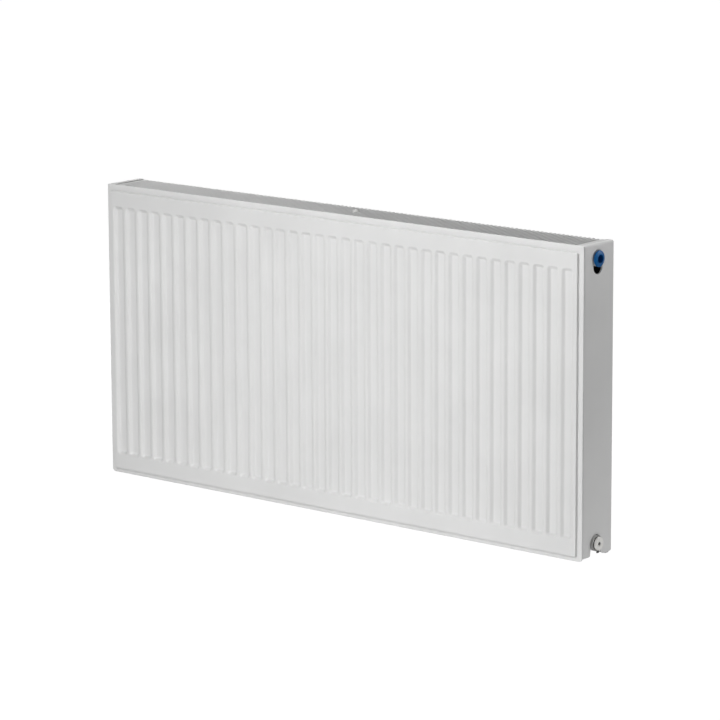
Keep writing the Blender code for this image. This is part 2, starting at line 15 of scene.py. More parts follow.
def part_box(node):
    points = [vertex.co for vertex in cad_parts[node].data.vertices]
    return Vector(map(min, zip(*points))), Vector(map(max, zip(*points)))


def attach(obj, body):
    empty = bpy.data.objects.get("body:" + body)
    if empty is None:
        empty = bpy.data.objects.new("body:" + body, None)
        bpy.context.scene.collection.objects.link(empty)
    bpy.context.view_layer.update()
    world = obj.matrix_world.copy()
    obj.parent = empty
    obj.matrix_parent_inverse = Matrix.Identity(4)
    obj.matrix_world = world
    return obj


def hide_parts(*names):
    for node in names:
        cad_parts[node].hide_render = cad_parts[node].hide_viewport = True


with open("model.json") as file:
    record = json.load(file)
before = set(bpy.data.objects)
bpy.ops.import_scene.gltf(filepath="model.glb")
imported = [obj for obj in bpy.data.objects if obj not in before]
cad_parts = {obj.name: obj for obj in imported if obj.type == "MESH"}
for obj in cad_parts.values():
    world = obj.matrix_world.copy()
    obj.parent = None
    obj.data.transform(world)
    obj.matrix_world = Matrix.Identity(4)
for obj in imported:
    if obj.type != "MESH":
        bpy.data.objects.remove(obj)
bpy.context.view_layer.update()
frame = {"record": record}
NODE_BODY = {node: body for body, nodes in frame["record"]["behaviour"]["bodies"].items()
             for node in nodes}

# Mesh work
SLIVER = 0.00002          # booleans leave shorter edges than this, which are dissolved
MERGE = 0.00001           # points closer than this are one
FINE_MERGE = 0.000001
SHARP_ANGLE = math.radians(40)
SOFTENED_ANGLE = math.radians(50)

# Pressed sheets
SHEET = 0.0012
SEAT = 0.0003             # gap between pieces that touch in the real thing
FLANGE = 0.0098           # along the sides
FLANGE_TOP = 0.0126
FLANGE_BOTTOM = 0.0087
STEP_RUN = 0.0014
FIELD_RISE = 0.0055
FIELD_CORNER = 0.005
CHANNEL_PITCH = 1.0 / 30
CHANNELS = 36
CROWN = 0.08              # droop of the field towards its edges, as a share of its rise
CROWN_RUN = 0.006
SLOT_WIDTH = 0.0301
SLOT_WALL_RUN = 0.0092
SLOT_BOTTOM = 0.0390
SLOT_TOP = 0.0421         # below the top edge
SLOT_END_RUN = 0.0095
TOP_CORNER = 0.003
BOTTOM_CORNER = 0.008
EDGE_ROLL = 0.0055        # the sheets' edges lean towards the middle over this width
TOP_LEAN = 0.0010
BOTTOM_LEAN = 0.0009
SIDE_LEAN = 0.0005
INNER_SIDE_LEAN = 0.0003
ROLL_STEPS = 6            # grid lines over the edges' lean
TOP_CORNER_STEPS = 4
BOTTOM_CORNER_STEPS = 6
SLOT_END_EXTRA = 2        # lines that a slot's end has more than the other bends

# Convectors
CONVECTOR_SHEET = 0.0005
CONVECTOR_FOOT = 0.007
CONVECTOR_CREST = 0.012
CONVECTOR_BEND = 0.0025

# Top grille and its clip
GRILLE_SHEET = 0.0028     # bars with turned-down edges
GRILLE_PITCH = 0.010
GRILLE_BAR = 0.0038
GRILLE_RAIL = 0.006
GRILLE_WRAP = 0.0035
GRILLE_BEND = 0.0009
GRILLE_END = 0.008
SLOT_SHARES = (-1.0, -0.92, -0.71, -0.38, 0.0, 0.38, 0.71, 0.92, 1.0)  # of half a slot's width
CLIP_MIDDLE = 0.0007      # height of its middle over the grille
CLIP_RING = (0.60, 0.70, 0.86)     # foot, inner and outer edge of its ring, of its radius
CLIP_STEM = 0.0022
CLIP_TIP = 0.0012
CLIP_TAPER = 0.001

# Side covers
COVER_SHEET = 0.0010
COVER_BEND = 0.004        # along the top; the upright edges are tighter
COVER_TIGHT = 0.0015
COVER_BEND_STEPS = 8
COVER_CORNER = 0.005
CORNER_STEPS = 6
COVER_LIP = 0.009         # front and rear lips; the top lip is as wide as the cover's box
LIP_CLEAR = 0.0005        # the wide part of the top lip reaches this far below its bend
HOLE_RADIUS = 0.0159
HOLE_FOOT = 0.0132        # the hole narrows to this radius
HOLE_DROP = 0.0156
HOLE_STEPS = 24
NOTCH_RADIUS = 0.0162
NOTCH_STEPS = 40
RIM_RADIUS = 0.0015       # rounding of the cover round its holes
RIM_DEPTH = 0.003
RIM_TURN = 0.0017         # depth at which the rim's hidden face turns along the cover
RIM_LAP = 0.0003          # overlap of rim and cover before they are united
RIM_STEPS = 6
CUT_REACH = 0.03          # cutters reach this far to each side of the panels' ends
FAR = 1.0                 # and this far where nothing stops them

# Connections; heights are measured outwards from a socket's face
CONNECTION_INSET = 0.029
TUBE_RADIUS = 0.013
TUBE_BORE = 0.009
SOCKET_RADIUS = 0.0149
SOCKET_BORE = 0.0102
TEE_ROUND = 0.0006
THROUGH = 0.1             # drills reach this far
CAP_RADIUS = 0.0156
CAP_EDGE_TOP = 0.0042
CAP_EDGE_FOOT = 0.0022
CAP_FACE = 0.0056
CAP_FACE_RADIUS = 0.0104
CAP_LIP = 0.0062
CAP_LIP_RADIUS = 0.0094
CAP_BORE = 0.0081
CAP_SHOULDER = 0.0014
CAP_SHOULDER_RADIUS = 0.0135
CAP_SPIGOT = 0.0099
CAP_DEPTH = 0.014
CAP_FLOOR = 0.0011        # thickness of its closed end
PLUG_TOP = 0.0088
PLUG_FACE_RADIUS = 0.0125
PLUG_CHAMFER = 0.0078
PLUG_HEAD_RADIUS = 0.0135
PLUG_HEAD_FOOT = 0.0064
PLUG_NECK = 0.0099
PLUG_DEPTH = 0.012
COLLAR_RADIUS = 0.0125
COLLAR_TOP = 0.0034
COLLAR_FOOT = 0.0016
KEY_HOLE_RADIUS = 0.0038
KEY_HOLE_FLOOR = 0.0048
NECK_CLEARANCE = 0.0102   # bore of the seal and the ring
SEAL_RADIUS = 0.012
SEAL_TOP = 0.0013
RING_TOP = 0.0061
RING_FOOT = 0.0037
SPOUT_START = 0.0117
SPOUT_END = 0.0182
SPOUT_HALF = 0.0035
SPOUT_TOP = 0.0059
SPOUT_FOOT = 0.0039
SPOUT_ROUND = 0.0006
SPOUT_BORE = 0.0009
SPOUT_BORE_START = 0.0121
SCREW_BORE = 0.0023
SCREW_RADIUS = 0.002
SCREW_TOP = 0.0065
SCREW_DEPTH = 0.0035
KEY_HALF = 0.0023         # half the side of the screw's square
KEY_TOP = 0.0085
KEY_FOOT = 0.0051
KEY_ROUND = 0.0004

# Hanging lugs
LUG_SHEET = 0.002
LUG_POCKET = 0.012        # half the pocket's width
LUG_ROUND = 0.0009
LUG_CLEAR = 0.01          # the pocket's cutter passes the lug by this

# Paint
PAINT_DARK = (0.74, 0.741, 0.737)
PAINT_LIGHT = (0.78, 0.781, 0.777)
# Painted shade: near-black colours that stand in for the deep shade inside the panels, which are
# white
PAINTED_SHADE_DARK = (0.045, 0.045, 0.047)
PAINTED_SHADE_LIGHT = (0.085, 0.085, 0.087)
PAINTED_SHADE_FADE = 0.003       # width over which white gives way to the painted shade
NOISE_LOW, NOISE_HIGH = 0.3, 0.7   # most values of a noise texture lie between these

# Stage
FLOOR_SIZE = 60
FLOOR_Z = -0.0004
FLOOR_SHADE = 0.05
SURROUND_RADIUS = 45
WORLD_STRENGTH = 0.153

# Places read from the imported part
FRONT_LOW, FRONT_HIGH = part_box("front_outer_sheet")
REAR_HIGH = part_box("rear_outer_sheet")[1]
COVER_LOW, COVER_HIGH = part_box("right_side_cover")
GRILLE_LOW, GRILLE_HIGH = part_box("top_grille")
HALF = FRONT_HIGH.x
HEIGHT = FRONT_HIGH.z
FRONT_FLANGE = FRONT_LOW.y + FIELD_RISE
REAR_FLANGE = REAR_HIGH.y - FIELD_RISE
MIDDLE = (FRONT_FLANGE + REAR_FLANGE) / 2
HIGH = HEIGHT - CONNECTION_INSET
LOW = CONNECTION_INSET
SLOT_CENTRES = [(k - (CHANNELS - 2) / 2) * CHANNEL_PITCH for k in range(CHANNELS - 1)]
# Turns an outline drawn in X and Y into one in Y and Z
TO_SIDE = Matrix(((0, 0, 1, 0), (1, 0, 0, 0), (0, 1, 0, 0), (0, 0, 0, 1)))


# Meshes

def finish_piece(name, mesh, material):
    """Show a mesh in place of the CAD node of that name, on the node's body."""
    obj = bpy.data.objects.new(name + "_look", mesh)
    bpy.context.scene.collection.objects.link(obj)
    mesh.materials.clear()
    mesh.materials.append(material)
    mesh.shade_smooth()
    mesh.set_sharp_from_angle(angle=SHARP_ANGLE)
    normals = obj.modifiers.new("normals", "WEIGHTED_NORMAL")
    normals.keep_sharp = True
    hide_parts(name)
    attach(obj, NODE_BODY[name])


def mesh_of(bm, name):
    """Close a bmesh into a mesh, faces outwards."""
    bmesh.ops.recalc_face_normals(bm, faces=bm.faces)
    mesh = bpy.data.meshes.new(name)
    bm.to_mesh(mesh)
    bm.free()
    return mesh


def scratch(mesh):
    """A working object that is not shown."""
    obj = bpy.data.objects.new("scratch", mesh)
    bpy.context.scene.collection.objects.link(obj)
    return obj


def baked(obj, *used):
    """The mesh of a working object with its modifiers applied; it and the used ones go."""
    bpy.context.view_layer.update()
    graph = bpy.context.evaluated_depsgraph_get()
    mesh = bpy.data.meshes.new_from_object(obj.evaluated_get(graph))
    for done in (obj, *used):
        bpy.data.objects.remove(done, do_unlink=True)
    return mesh


def combine(mesh, operation, other):
    """Boolean of two meshes, without the slivers it leaves."""
    first, second = scratch(mesh), scratch(other)
    boolean = first.modifiers.new("cut", "BOOLEAN")
    boolean.operation = operation
    boolean.object = second
    bm = bmesh.new()
    bm.from_mesh(baked(first, second))
    bmesh.ops.remove_doubles(bm, verts=bm.verts, dist=SLIVER)
    bmesh.ops.dissolve_degenerate(bm, edges=bm.edges, dist=SLIVER)
    return mesh_of(bm, "combined")


def thickened(mesh, thickness, offset=-1):
    """A sheet surface made solid."""
    obj = scratch(mesh)
    solidify = obj.modifiers.new("sheet", "SOLIDIFY")
    solidify.thickness = thickness
    solidify.offset = offset
    solidify.use_even_offset = True
    return baked(obj)


def softened(mesh, width, segments):
    """The mesh with its sharper edges rounded."""
    obj = scratch(mesh)
    bevel = obj.modifiers.new("round", "BEVEL")
    bevel.width = width
    bevel.segments = segments
    bevel.limit_method = "ANGLE"
    bevel.angle_limit = SOFTENED_ANGLE
    return baked(obj)


def moved(mesh, matrix):
    """The mesh under a transform."""
    copy = mesh.copy()
    copy.transform(matrix)
    if matrix.determinant() < 0:
        copy.flip_normals()
    return copy


def grid_solid(name, front, back):
    """A closed solid between two grids of points, each rows by columns by 3."""
    rows, columns = front.shape[:2]
    index = np.arange(rows * columns).reshape(rows, columns)
    quads = np.stack([index[:-1, :-1], index[:-1, 1:], index[1:, 1:], index[1:, :-1]], -1)
    quads = quads.reshape(-1, 4)
    shift = rows * columns
    rim = np.concatenate([index[0, :-1], index[:-1, -1], index[-1, :0:-1], index[:0:-1, 0]])
    nxt = np.roll(rim, -1)
    sides = np.stack([nxt, rim, rim + shift, nxt + shift], -1)
    faces = np.concatenate([quads, quads[:, ::-1] + shift, sides])
    mesh = bpy.data.meshes.new(name)
    points = np.concatenate([front.reshape(-1, 3), back.reshape(-1, 3)])
    mesh.from_pydata(points.tolist(), [], faces.tolist())
    bm = bmesh.new()
    bm.from_mesh(mesh)
    return mesh_of(bm, name)


def turned(name, profile, closed=True, steps=64):
    """A solid turned about Z from a profile of (radius, height) points."""
    bm = bmesh.new()
    points = [bm.verts.new((radius, 0, height)) for radius, height in profile]
    ends = zip(points, points[1:] + points[:1]) if closed else zip(points, points[1:])
    for first, second in ends:
        bm.edges.new((first, second))
    mesh = bpy.data.meshes.new(name)
    bm.to_mesh(mesh)
    bm.free()
    obj = scratch(mesh)
    screw = obj.modifiers.new("turn", "SCREW")
    screw.steps = steps
    screw.render_steps = steps
    screw.use_merge_vertices = True
    screw.merge_threshold = MERGE
    bm = bmesh.new()
    bm.from_mesh(baked(obj))
    return mesh_of(bm, name)


def arc(centre, radius, start, end, steps):
    """Points on an arc, angles in degrees."""
    points = []
    for step in range(steps + 1):
        angle = math.radians(start + (end - start) * step / steps)
        points.append((centre[0] + radius * math.cos(angle), centre[1] + radius * math.sin(angle)))
    return points


def rounded(corners, radius=0, steps=4, closed=True):
    """A polyline with its corners rounded; a corner may give its own radius as a third value."""
    count = len(corners)
    points = []
    for k, corner in enumerate(corners):
        here = np.array(corner[:2])
        reach = corner[2] if len(corner) > 2 else radius
        if reach <= 0 or (not closed and k in (0, count - 1)):
            points.append(tuple(here))
            continue
        before = np.array(corners[k - 1][:2]) - here
        after = np.array(corners[(k + 1) % count][:2]) - here
        before, after = before / np.linalg.norm(before), after / np.linalg.norm(after)
        half_angle = math.acos(np.clip(before @ after, -1, 1)) / 2
        back = reach / math.tan(half_angle)
        bisector = (before + after) / np.linalg.norm(before + after)
        centre = here + bisector * reach / math.sin(half_angle)
        start, end = here + before * back - centre, here + after * back - centre
        first = math.atan2(start[1], start[0])
        sweep = math.atan2(end[1], end[0]) - first
        sweep = (sweep + math.pi) % (2 * math.pi) - math.pi
        for step in range(steps + 1):
            angle = first + sweep * step / steps
            points.append((centre[0] + reach * math.cos(angle),
                           centre[1] + reach * math.sin(angle)))
    return points


def prism(outlines, start, end):
    """Closed outlines in Y and Z, filled and extruded along X."""
    curve = bpy.data.curves.new("outline", "CURVE")
    curve.dimensions = "2D"
    curve.fill_mode = "BOTH"
    curve.extrude = abs(end - start) / 2
    for outline in outlines:
        spline = curve.splines.new("POLY")
        spline.points.add(len(outline) - 1)
        for point, (y, z) in zip(spline.points, outline):
            point.co = (y, z, 0, 1)
        spline.use_cyclic_u = True
    bm = bmesh.new()
    bm.from_mesh(baked(scratch(curve)))
    bmesh.ops.remove_doubles(bm, verts=bm.verts, dist=MERGE)
    bmesh.ops.transform(bm, matrix=Matrix.Translation(((start + end) / 2, 0, 0)) @ TO_SIDE,
                        verts=bm.verts)
    return mesh_of(bm, "prism")


def rod(radius, start, end, axis, centre=(0, 0, 0), steps=64):
    """A cylinder from start to end along an axis through a centre."""
    bm = bmesh.new()
    bmesh.ops.create_cone(bm, cap_ends=True, segments=steps, radius1=radius, radius2=radius,
                          depth=end - start)
    bmesh.ops.translate(bm, vec=(0, 0, (start + end) / 2), verts=bm.verts)
    turn = {"X": Matrix.Rotation(math.pi / 2, 4, "Y"),
            "Y": Matrix.Rotation(-math.pi / 2, 4, "X"),
            "Z": Matrix.Identity(4)}[axis]
    bmesh.ops.transform(bm, matrix=Matrix.Translation(centre) @ turn, verts=bm.verts)
    return mesh_of(bm, "rod")


def block(low, high):
    """A box between two corners."""
    bm = bmesh.new()
    bmesh.ops.create_cube(bm, size=1.0)
    size = [b - a for a, b in zip(low, high)]
    bmesh.ops.scale(bm, vec=size, verts=bm.verts)
    bmesh.ops.translate(bm, vec=[(a + b) / 2 for a, b in zip(low, high)], verts=bm.verts)
    return mesh_of(bm, "block")


# Materials

def new_material(name):
    """A material with its nodes; returns it, its tree and its shader."""
    material = bpy.data.materials.new(name)
    material.use_nodes = True
    tree = material.node_tree
    return material, tree, tree.nodes["Principled BSDF"]


def noise(tree, scale, detail, stretch=(1, 1, 1)):
    """Noise in object coordinates; returns its Fac socket."""
    coordinates = tree.nodes.new("ShaderNodeTexCoord")
    mapping = tree.nodes.new("ShaderNodeMapping")
    mapping.inputs["Scale"].default_value = stretch
    texture = tree.nodes.new("ShaderNodeTexNoise")
    texture.inputs["Scale"].default_value = scale
    texture.inputs["Detail"].default_value = detail
    tree.links.new(coordinates.outputs["Object"], mapping.inputs["Vector"])
    tree.links.new(mapping.outputs["Vector"], texture.inputs["Vector"])
    return texture.outputs["Fac"]


def spread(tree, socket, low=0.0, high=1.0):
    """Map a noise socket to a range."""
    node = tree.nodes.new("ShaderNodeMapRange")
    node.inputs["From Min"].default_value = NOISE_LOW
    node.inputs["From Max"].default_value = NOISE_HIGH
    node.inputs["To Min"].default_value = low
    node.inputs["To Max"].default_value = high
    tree.links.new(socket, node.inputs["Value"])
    return node.outputs["Result"]


def between(tree, socket, first, second):
    """A colour between two, by a 0 to 1 socket."""
    node = tree.nodes.new("ShaderNodeMix")
    node.data_type = "RGBA"
    node.inputs["A"].default_value = (*first, 1)
    node.inputs["B"].default_value = (*second, 1)
    tree.links.new(socket, node.inputs["Factor"])
    return node.outputs["Result"]


def bump(tree, shader, socket, strength, distance):
    """Drive the shader's normal with a height socket."""
    node = tree.nodes.new("ShaderNodeBump")
    node.inputs["Strength"].default_value = strength
    node.inputs["Distance"].default_value = distance
    tree.links.new(socket, node.inputs["Height"])
    tree.links.new(node.outputs["Normal"], shader.inputs["Normal"])


def make_paint(name, dark, light, rough):
    """Powder coat: even colour with a slight cloud, and a fine orange peel."""
    material, tree, shader = new_material(name)
    cloud = spread(tree, noise(tree, scale=9.0, detail=4.0))
    tree.links.new(between(tree, cloud, dark, light), shader.inputs["Base Color"])
    peel = noise(tree, scale=650.0, detail=2.0)
    tree.links.new(spread(tree, peel, *rough), shader.inputs["Roughness"])
    bump(tree, shader, peel, strength=0.12, distance=0.0002)
    shader.inputs["Specular IOR Level"].default_value = 0.45
    return material


def near_edge(tree, socket, centre, start):
    """0 to 1 where a coordinate is further than start from its centre."""
    shift = tree.nodes.new("ShaderNodeMath")
    shift.operation = "SUBTRACT"
    shift.inputs[1].default_value = centre
    tree.links.new(socket, shift.inputs[0])
    distance = tree.nodes.new("ShaderNodeMath")
    distance.operation = "ABSOLUTE"
    tree.links.new(shift.outputs["Value"], distance.inputs[0])
    share = tree.nodes.new("ShaderNodeMapRange")
    share.inputs["From Min"].default_value = start
    share.inputs["From Max"].default_value = start + PAINTED_SHADE_FADE
    tree.links.new(distance.outputs["Value"], share.inputs["Value"])
    return share.outputs["Result"]


def make_inner_paint_and_shade():
    """White paint round the edge of the panels and at the ends; further in, painted shade: a
    near-black colour standing in for the deep shade inside.
    """
    material = make_paint("inner_paint_and_painted_shade", PAINT_DARK, PAINT_LIGHT, (0.40, 0.52))
    tree = material.node_tree
    shader = tree.nodes["Principled BSDF"]
    white = shader.inputs["Base Color"].links[0].from_socket
    shade_variation = spread(tree, noise(tree, scale=30.0, detail=4.0))
    # Painted shade: a dark colour, varied by noise, on the white inner surfaces where they lie in
    # shade
    painted_shade = between(tree, shade_variation, PAINTED_SHADE_DARK, PAINTED_SHADE_LIGHT)
    place = tree.nodes.new("ShaderNodeSeparateXYZ")
    coordinates = tree.nodes.new("ShaderNodeTexCoord")
    tree.links.new(coordinates.outputs["Object"], place.inputs["Vector"])
    shares = [near_edge(tree, place.outputs["X"], 0.0, HALF - FLANGE),
              near_edge(tree, place.outputs["Z"], HEIGHT / 2, HEIGHT / 2 - FLANGE)]
    edge = tree.nodes.new("ShaderNodeMath")
    edge.operation = "MAXIMUM"
    for share, socket in zip(shares, edge.inputs):
        tree.links.new(share, socket)
    mix = tree.nodes.new("ShaderNodeMix")
    mix.data_type = "RGBA"
    tree.links.new(edge.outputs["Value"], mix.inputs["Factor"])
    tree.links.new(painted_shade, mix.inputs["A"])
    tree.links.new(white, mix.inputs["B"])
    tree.links.new(mix.outputs["Result"], shader.inputs["Base Color"])
    return material


def make_plastic(name, dark, light, rough, grain, gloss=0.5):
    """Moulded plastic: a slight flow in the colour and a fine grain."""
    material, tree, shader = new_material(name)
    flow = spread(tree, noise(tree, scale=60.0, detail=2.0))
    tree.links.new(between(tree, flow, dark, light), shader.inputs["Base Color"])
    texture = noise(tree, scale=2500.0, detail=2.0)
    tree.links.new(spread(tree, texture, *rough), shader.inputs["Roughness"])
    bump(tree, shader, texture, strength=grain, distance=0.0001)
    shader.inputs["Specular IOR Level"].default_value = gloss
    return material


def make_metal(name, dark, light, rough, metallic=1.0):
    """Plated or turned metal: a fine grain, drawn out across its axis, and uneven gloss."""
    material, tree, shader = new_material(name)
    stain = spread(tree, noise(tree, scale=180.0, detail=3.0))
    tree.links.new(between(tree, stain, dark, light), shader.inputs["Base Color"])
    rings = noise(tree, scale=900.0, detail=2.0, stretch=(1, 0.15, 0.15))
    tree.links.new(spread(tree, rings, *rough), shader.inputs["Roughness"])
    bump(tree, shader, rings, strength=0.08, distance=0.0001)
    shader.inputs["Metallic"].default_value = metallic
    return material


WHITE_PAINT = make_paint("white_paint", PAINT_DARK, PAINT_LIGHT, (0.28, 0.36))
# Inner sheets, convectors and tees: white near the edges, painted shade further in
INNER_PAINT_AND_SHADE = make_inner_paint_and_shade()
BLUE_PLASTIC = make_plastic("blue_plastic", (0.004, 0.110, 0.340), (0.007, 0.140, 0.410),
                            (0.26, 0.36), grain=0.10, gloss=0.16)
GREY_PLASTIC = make_plastic("grey_plastic", (0.50, 0.50, 0.49), (0.56, 0.56, 0.55),
                            (0.34, 0.44), grain=0.10)
BLACK_PLASTIC = make_plastic("black_plastic", (0.010, 0.010, 0.011), (0.022, 0.022, 0.023),
                             (0.42, 0.55), grain=0.15)
RUBBER = make_plastic("seal_rubber", (0.48, 0.48, 0.47), (0.56, 0.56, 0.55),
                      (0.62, 0.80), grain=0.2)
NICKEL = make_metal("nickel", (0.80, 0.79, 0.77), (0.92, 0.91, 0.88), (0.38, 0.52), metallic=0.5)
STEEL = make_metal("dark_steel", (0.10, 0.10, 0.10), (0.20, 0.20, 0.195), (0.35, 0.50))


# Pressed sheets

def ease(share):
    """0 to 1 with level ends."""
    share = np.clip(share, 0, 1)
    return share * share * (3 - 2 * share)


def slow_ease(share):
    """0 to 1 with longer level ends."""
    share = np.clip(share, 0, 1)
    return share ** 3 * (10 - 15 * share + 6 * share ** 2)


def press_level(x, z):
    """How far the field is raised at a point of a sheet: 0 on flange and slot floors, 1 on it."""
    centre = (FLANGE_BOTTOM + HEIGHT - FLANGE_TOP) / 2
    reach_x = np.abs(x) - (HALF - FLANGE - FIELD_CORNER)
    reach_z = np.abs(z - centre) - (centre - FLANGE_BOTTOM - FIELD_CORNER)
    outside = np.hypot(np.maximum(reach_x, 0), np.maximum(reach_z, 0))
    inside = FIELD_CORNER - outside - np.minimum(np.maximum(reach_x, reach_z), 0)
    field = ease(inside / STEP_RUN)
    nearest = np.abs((x / CHANNEL_PITCH + 0.5) % 1.0 - 0.5) * CHANNEL_PITCH
    among_slots = np.abs(x) < SLOT_CENTRES[-1] + CHANNEL_PITCH / 2
    across = 1 - (SLOT_WIDTH / 2 - nearest) / SLOT_WALL_RUN
    along = 1 - np.minimum(z - SLOT_BOTTOM, HEIGHT - SLOT_TOP - z) / SLOT_END_RUN
    slot = slow_ease(1 - np.hypot(np.maximum(across, 0), np.maximum(along, 0)))
    droop = CROWN * np.clip(1 - (inside - STEP_RUN) / CROWN_RUN, 0, 1) ** 2
    return field * (1 - droop) * (1 - slot * among_slots)


def spaced(start, end, count):
    """Evenly spaced places, both ends included."""
    return [start + (end - start) * k / count for k in range(count + 1)]


def sheet_columns(half, fine):
    """Grid lines along X, dense where the sheet is bent."""
    lines = spaced(half - BOTTOM_CORNER, half, BOTTOM_CORNER_STEPS)
    lines += spaced(half - TOP_CORNER, half, TOP_CORNER_STEPS)
    lines += spaced(half - EDGE_ROLL, half, ROLL_STEPS)
    lines.append(half - FLANGE)
    lines += spaced(HALF - FLANGE - STEP_RUN, HALF - FLANGE, fine)
    lines += spaced(HALF - FLANGE - STEP_RUN - CROWN_RUN, HALF - FLANGE - STEP_RUN, fine)
    lines += [-line for line in lines]
    for centre in SLOT_CENTRES:
        wall = spaced(SLOT_WIDTH / 2 - SLOT_WALL_RUN, SLOT_WIDTH / 2, fine)
        lines += [centre + offset for offset in wall] + [centre - offset for offset in wall]
    return np.unique(np.round(lines, 6))


def sheet_rows(top, fine):
    """Grid lines up Z, dense where the sheet is bent."""
    edge, end = HEIGHT - FLANGE_TOP, HEIGHT - SLOT_TOP
    lines = spaced(0, BOTTOM_CORNER, BOTTOM_CORNER_STEPS)
    lines += spaced(FLANGE_BOTTOM, FLANGE_BOTTOM + STEP_RUN, fine)
    lines += spaced(FLANGE_BOTTOM + STEP_RUN, FLANGE_BOTTOM + STEP_RUN + CROWN_RUN, fine)
    lines += spaced(SLOT_BOTTOM, SLOT_BOTTOM + SLOT_END_RUN, fine + SLOT_END_EXTRA)
    lines += [HEIGHT / 4, HEIGHT / 2, 3 * HEIGHT / 4]
    lines += spaced(end - SLOT_END_RUN, end, fine + SLOT_END_EXTRA)
    lines += spaced(edge - STEP_RUN - CROWN_RUN, edge - STEP_RUN, fine)
    lines += spaced(edge - STEP_RUN, edge, fine)
    lines += spaced(top - EDGE_ROLL, top, ROLL_STEPS)
    lines += spaced(top - TOP_CORNER, top, TOP_CORNER_STEPS)
    return np.unique(np.round(lines, 6))


def round_corners(x, z, half, top):
    """Pull the outer corners of a grid onto arcs."""
    for reach, rise in ((TOP_CORNER, z - (top - TOP_CORNER)), (BOTTOM_CORNER, BOTTOM_CORNER - z)):
        across = np.clip((np.abs(x) - (half - reach)) / reach, 0, 1)
        along = np.clip(rise / reach, 0, 1)
        new_across = across * np.sqrt(1 - along ** 2 / 2)
        new_along = along * np.sqrt(1 - across ** 2 / 2)
        x = x + np.sign(x) * (new_across - across) * reach
        z = z + (new_along - along) * reach * (1 if reach == TOP_CORNER else -1)
    return x, z


def rolled(distance, lean):
    """How far an edge leans at a distance from it."""
    return lean * np.clip(1 - distance / EDGE_ROLL, 0, 1) ** 2


def make_sheet(name, toward, material, side_lean, top_lean=0.0, *, fine):
    """A pressed sheet in the place of its CAD node; toward is the way its field is raised.

    The rear sheets end under the grille, and the edges lean towards the radiator's middle. Fine
    is the number of grid lines over each bend.
    """
    low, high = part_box(name)
    flange = high.y - SHEET if toward < 0 else low.y
    under_grille = GRILLE_HIGH.z - GRILLE_SHEET - SEAT
    half, top = high.x, high.z if flange < MIDDLE else min(high.z, under_grille)
    x, z = np.meshgrid(sheet_columns(half, fine), sheet_rows(top, fine))
    y = flange + toward * FIELD_RISE * press_level(x, z)
    lean = np.maximum(rolled(top - z, top_lean), rolled(z, BOTTOM_LEAN))
    lean = np.maximum(lean, rolled(half - np.abs(x), side_lean))
    y = y + (lean if flange < MIDDLE else -lean)
    x, z = round_corners(x, z, half, top)
    front = np.stack([x, y, z], -1)
    back = np.stack([x, y + SHEET, z], -1)
    finish_piece(name, grid_solid(name, front, back), material)


make_sheet("front_outer_sheet", -1, WHITE_PAINT, SIDE_LEAN, TOP_LEAN, fine=7)
make_sheet("front_inner_sheet", 1, INNER_PAINT_AND_SHADE, INNER_SIDE_LEAN, fine=3)
make_sheet("rear_inner_sheet", -1, INNER_PAINT_AND_SHADE, INNER_SIDE_LEAN, fine=3)
make_sheet("rear_outer_sheet", 1, WHITE_PAINT, SIDE_LEAN, fine=5)


# Convectors

def make_convector(name, side):
    """A folded fin sheet with rounded bends; side is -1 in front and 1 behind."""
    low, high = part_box(name)
    half_sheet = CONVECTOR_SHEET / 2
    foot_y = high.y - half_sheet if side > 0 else low.y + half_sheet
    crest_y = low.y + half_sheet if side > 0 else high.y - half_sheet
    corners = []
    for k in range(CHANNELS):
        foot = (k - (CHANNELS - 1) / 2) * CHANNEL_PITCH
        crest = foot + CHANNEL_PITCH / 2
        corners += [(foot - CONVECTOR_FOOT / 2, foot_y), (foot + CONVECTOR_FOOT / 2, foot_y)]
        if k < CHANNELS - 1:
            corners += [(crest - CONVECTOR_CREST / 2, crest_y),
                        (crest + CONVECTOR_CREST / 2, crest_y)]
    section = rounded(corners, CONVECTOR_BEND, closed=False)
    bm = bmesh.new()
    lower = [bm.verts.new((x, y, low.z)) for x, y in section]
    upper = [bm.verts.new((x, y, high.z)) for x, y in section]
    for k in range(len(section) - 1):
        bm.faces.new((lower[k], lower[k + 1], upper[k + 1], upper[k]))
    mesh = thickened(mesh_of(bm, name), CONVECTOR_SHEET, offset=0)
    finish_piece(name, mesh, INNER_PAINT_AND_SHADE)


make_convector("front_convector", -1)
make_convector("rear_convector", 1)


# Top grille

def grille_slots():
    """Centres of the slots along X."""
    room = 2 * (GRILLE_HIGH.x - GRILLE_END) + GRILLE_BAR
    count = int(room / GRILLE_PITCH)
    return [(k - (count - 1) / 2) * GRILLE_PITCH for k in range(count)]


